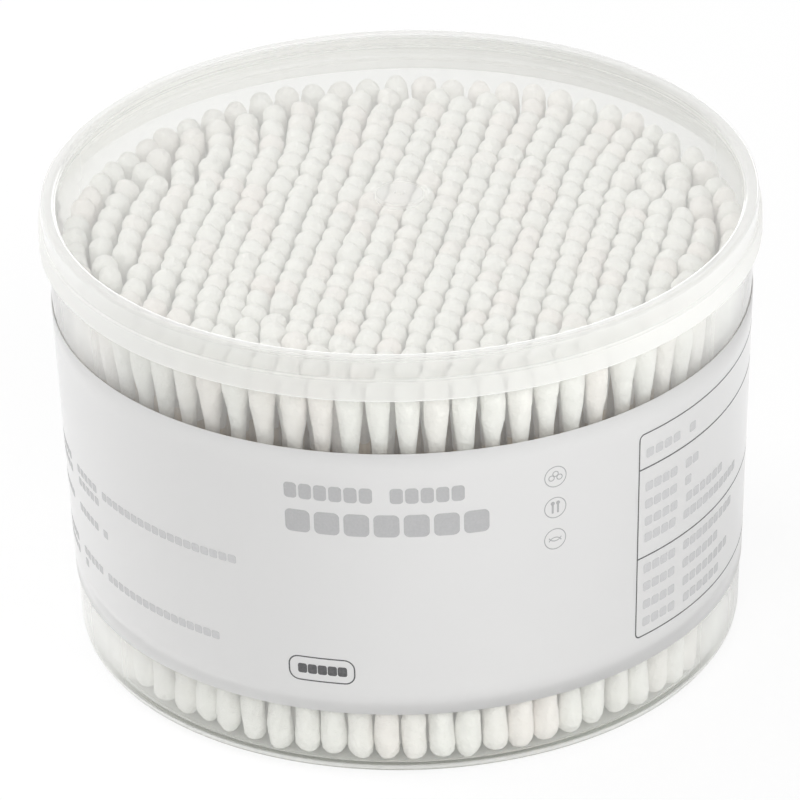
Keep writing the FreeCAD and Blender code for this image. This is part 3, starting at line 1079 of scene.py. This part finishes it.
# %% Ribbons
INK_LIFT = 0.012 * MM
FRONT = math.radians(-90)
# points on a quarter circle of a bar and of a box, points on a ring, and the longest stretch
# without a point in mm
QUARTER_STEPS = 5
BOX_STEPS = 7
RING_STEPS = 40
LONGEST_STRETCH = 1.5
# half width that a bar keeps at its very ends, in mm
BLUNT_END = 0.01
label_middle_r = label_radius((label_bottom + label_top) / 2)
marks = []


def ribbon(along, up, half, tone, closed=False):
    """Keeps one mark: points either side of a path in mm, half a width away, and their faces.

    The way of a path at a point goes from the point before it to the point after it, and aside
    is that way turned by a quarter.
    """
    path = np.stack([along, up], axis=-1)
    if closed:
        way = np.roll(path, -1, axis=0) - np.roll(path, 1, axis=0)
    else:
        way = np.gradient(path, axis=0)
    way = unit(way)
    aside = np.stack([-way[:, 1], way[:, 0]], axis=-1) * np.reshape(half, (-1, 1))
    points = np.stack([path - aside, path + aside], axis=1).reshape(-1, 2)
    first = 2 * np.arange(len(path) if closed else len(path) - 1)
    faces = np.stack([first, first + 2, first + 3, first + 1], axis=-1) % len(points)
    marks.append((points, faces, tone))


def bar(start, end, level, height, corner, tone):
    """Filled bar with round corners: its half height follows a quarter circle at each end."""
    rounding = corner * (1 - np.cos(np.linspace(0, np.pi / 2, QUARTER_STEPS)))
    stretches = 2 + int((end - start) / LONGEST_STRETCH)
    middle = np.linspace(start + corner, end - corner, stretches)[1:-1]
    along = np.concatenate([start + rounding, middle, end - rounding[::-1]])
    depth = np.minimum(np.minimum(along - start, end - along), corner)
    half = height / 2 - corner + np.sqrt(corner ** 2 - (corner - depth) ** 2)
    ribbon(along, np.full(len(along), level), half + BLUNT_END, tone)


def ring(along, up, radius, half, tone):
    """Round line about a point: the radius times the cosine along and times the sine up."""
    angle = np.linspace(0, 2 * np.pi, RING_STEPS, endpoint=False)
    ribbon(along + radius * np.cos(angle), up + radius * np.sin(angle), half, tone, closed=True)


def box_line(start, end, low, high, corner, half, tone):
    """Closed line round a box with round corners: four quarter circles joined by straights."""
    quarter = np.linspace(0, np.pi / 2, BOX_STEPS)
    sides = []
    for x, y, quarters in ((end, high, 0), (start, high, 1), (start, low, 2), (end, low, 3)):
        centre_x = x + (corner if x == start else -corner)
        centre_y = y + (corner if y == low else -corner)
        angle = quarter + quarters * np.pi / 2
        arc_x, arc_y = centre_x + corner * np.cos(angle), centre_y + corner * np.sin(angle)
        sides.append(np.stack([arc_x, arc_y], axis=-1))
    corners = np.concatenate(sides)
    joined = []
    for point, following in zip(corners, np.roll(corners, -1, axis=0)):
        count = 1 + int(np.linalg.norm(following - point) / LONGEST_STRETCH)
        joined.append(point + (following - point) * np.arange(count)[:, None] / count)
    path = np.concatenate(joined)
    ribbon(path[:, 0], path[:, 1], half, tone, closed=True)


# %% Rows of blocks
BLOCK_WIDTH = 0.86
BLOCK_CORNER = 0.22


def place_round(degrees):
    """Distance along the unrolled label of an azimuth, from the label's front."""
    return (math.radians(degrees) - FRONT) * label_middle_r / MM


def words(start, end, level, height, pitch, tone, gaps=()):
    """Row of small blocks that stands for a line of words, with some places left empty.

    A block's width is a share of the pitch, and its corners' radius a share of its height.
    """
    count = round((end - start) / pitch)
    for index in range(count):
        if index not in gaps:
            left = start + index * (end - start) / count
            bar(left, left + pitch * BLOCK_WIDTH, level, height, height * BLOCK_CORNER, tone)


# %% Heading and pill at the front
# Places round the label are azimuths in degrees, and every other size is in mm.
INK_DARK = 1.0
INK_SOFT = 0.62
INK_PALE = 0.48
# half widths of the line of a frame and of an icon
FRAME_LINE = 0.13
ICON_LINE = 0.09

heading_start = place_round(-110)
# level, height and pitch of the blocks follow the end of each row
words(heading_start, place_round(-80.6), 57.5, 3.0, 2.6, INK_SOFT, gaps=(6,))
words(heading_start, place_round(-76.3), 51.5, 4.4, 5.1, INK_SOFT)
pill_start, pill_end = place_round(-110.6), place_round(-99.5)
box_line(pill_start, pill_end, 19.0, 23.8, 1.8, FRAME_LINE, INK_DARK)
words(pill_start + 1.6, pill_end - 1.2, 21.4, 1.9, 1.95, INK_DARK)

# %% Icons in rings: three balls, two swabs and a leaf
icons = place_round(-65.8)
BALLS, SWABS, LEAF = 57.5, 51.3, 45.0
ICON_R = 2.0
BALL_R = 0.5
SWAB_HALF = 0.2
SWAB_TIP_R = 0.28
LEAF_R = 1.3

for level in (BALLS, SWABS, LEAF):
    ring(icons, level, ICON_R, ICON_LINE, INK_SOFT)
for left, up in ((-0.75, -0.2), (0.75, -0.2), (0, 0.55)):
    ring(icons + left, BALLS + up, BALL_R, ICON_LINE, INK_SOFT)
for left in (-0.5, 0.5):
    bar(icons + left - SWAB_HALF, icons + left + SWAB_HALF, SWABS, 2.2, 0.19, INK_SOFT)
    ring(icons + left, 52.2, SWAB_TIP_R, 0.1, INK_SOFT)
angle = np.linspace(0.15 * np.pi, 0.85 * np.pi, 16)
leaf_width, leaf_rise = LEAF_R * np.cos(angle), LEAF_R * np.sin(angle)
ribbon(icons + leaf_width, 44.0 + leaf_rise, ICON_LINE, INK_SOFT)
ribbon(icons + leaf_width, 45.9 - leaf_rise, ICON_LINE, INK_SOFT)

# %% Ruled box at the right and rows at the left
TABLE_LOW, TABLE_HIGH = 18.5, 59.7
TABLE_RULES = (52.7, 34.7)
# level of each row in mm, and the azimuth where it ends
TABLE_ROWS = {55.6: -35, 48.8: -34, 45.3: -36, 41.8: -25, 38.5: -18.5,
              32.2: -20, 28.5: -26, 24.8: -21.5, 21.3: -25}
SIDE_ROWS = {41.0: -119, 38.6: -152.3, 33.0: -150, 24.2: -123.2, 21.8: -160}

table_start, table_end = place_round(-49.5), place_round(3)
box_line(table_start, table_end, TABLE_LOW, TABLE_HIGH, 1.0, FRAME_LINE, INK_DARK)
for level in TABLE_RULES:
    bar(table_start, table_end, level, 2 * FRAME_LINE, 0.1, INK_DARK)
for level, end in TABLE_ROWS.items():
    words(place_round(-48), place_round(end), level, 1.8, 2.15, INK_PALE, gaps=(4,))
for level, end in SIDE_ROWS.items():
    words(place_round(-176), place_round(end), level, 1.6, 1.9, INK_PALE, gaps=(6, 7, 13))


# %% Ink
INK_THIN = (0.84, 0.84, 0.845, 1)
INK_FULL = (0.03, 0.03, 0.032, 1)
INK_GRAIN = 2500
INK_UNEVENNESS = 0.12


def ink_finish():
    """Dry printing ink over the paper: dark grey, a little uneven where it covered less."""
    finish = new_finish("printing_ink")
    cover = noise(finish, place_on(finish), INK_GRAIN, 2.0)
    share = kept_value(finish, "tone") - cover * INK_UNEVENNESS
    shade = blended(finish, share, INK_THIN, INK_FULL)
    surface = finish.node("ShaderNodeBsdfPrincipled", {}, {"Base Color": shade, "Roughness": 0.5})
    return finish.end(surface)


sizes = np.array([len(points) for points, faces, tone in marks])
shifts = np.cumsum(sizes) - sizes
flat_points = np.concatenate([points for points, faces, tone in marks]) * MM
ink_faces = np.concatenate([faces + shift
                            for (points, faces, tone), shift in zip(marks, shifts)])
ink_points = on_label(FRONT + flat_points[:, 0] / label_middle_r, flat_points[:, 1], INK_LIFT)
ink_mesh = poly_mesh("label_print", ink_points, [ink_faces])
point_values(ink_mesh, "tone", np.repeat([tone for points, faces, tone in marks], sizes))
new_piece(ink_mesh, ink_finish(), "tub", "label_paper")
print("marks", len(marks), "faces", len(ink_faces))
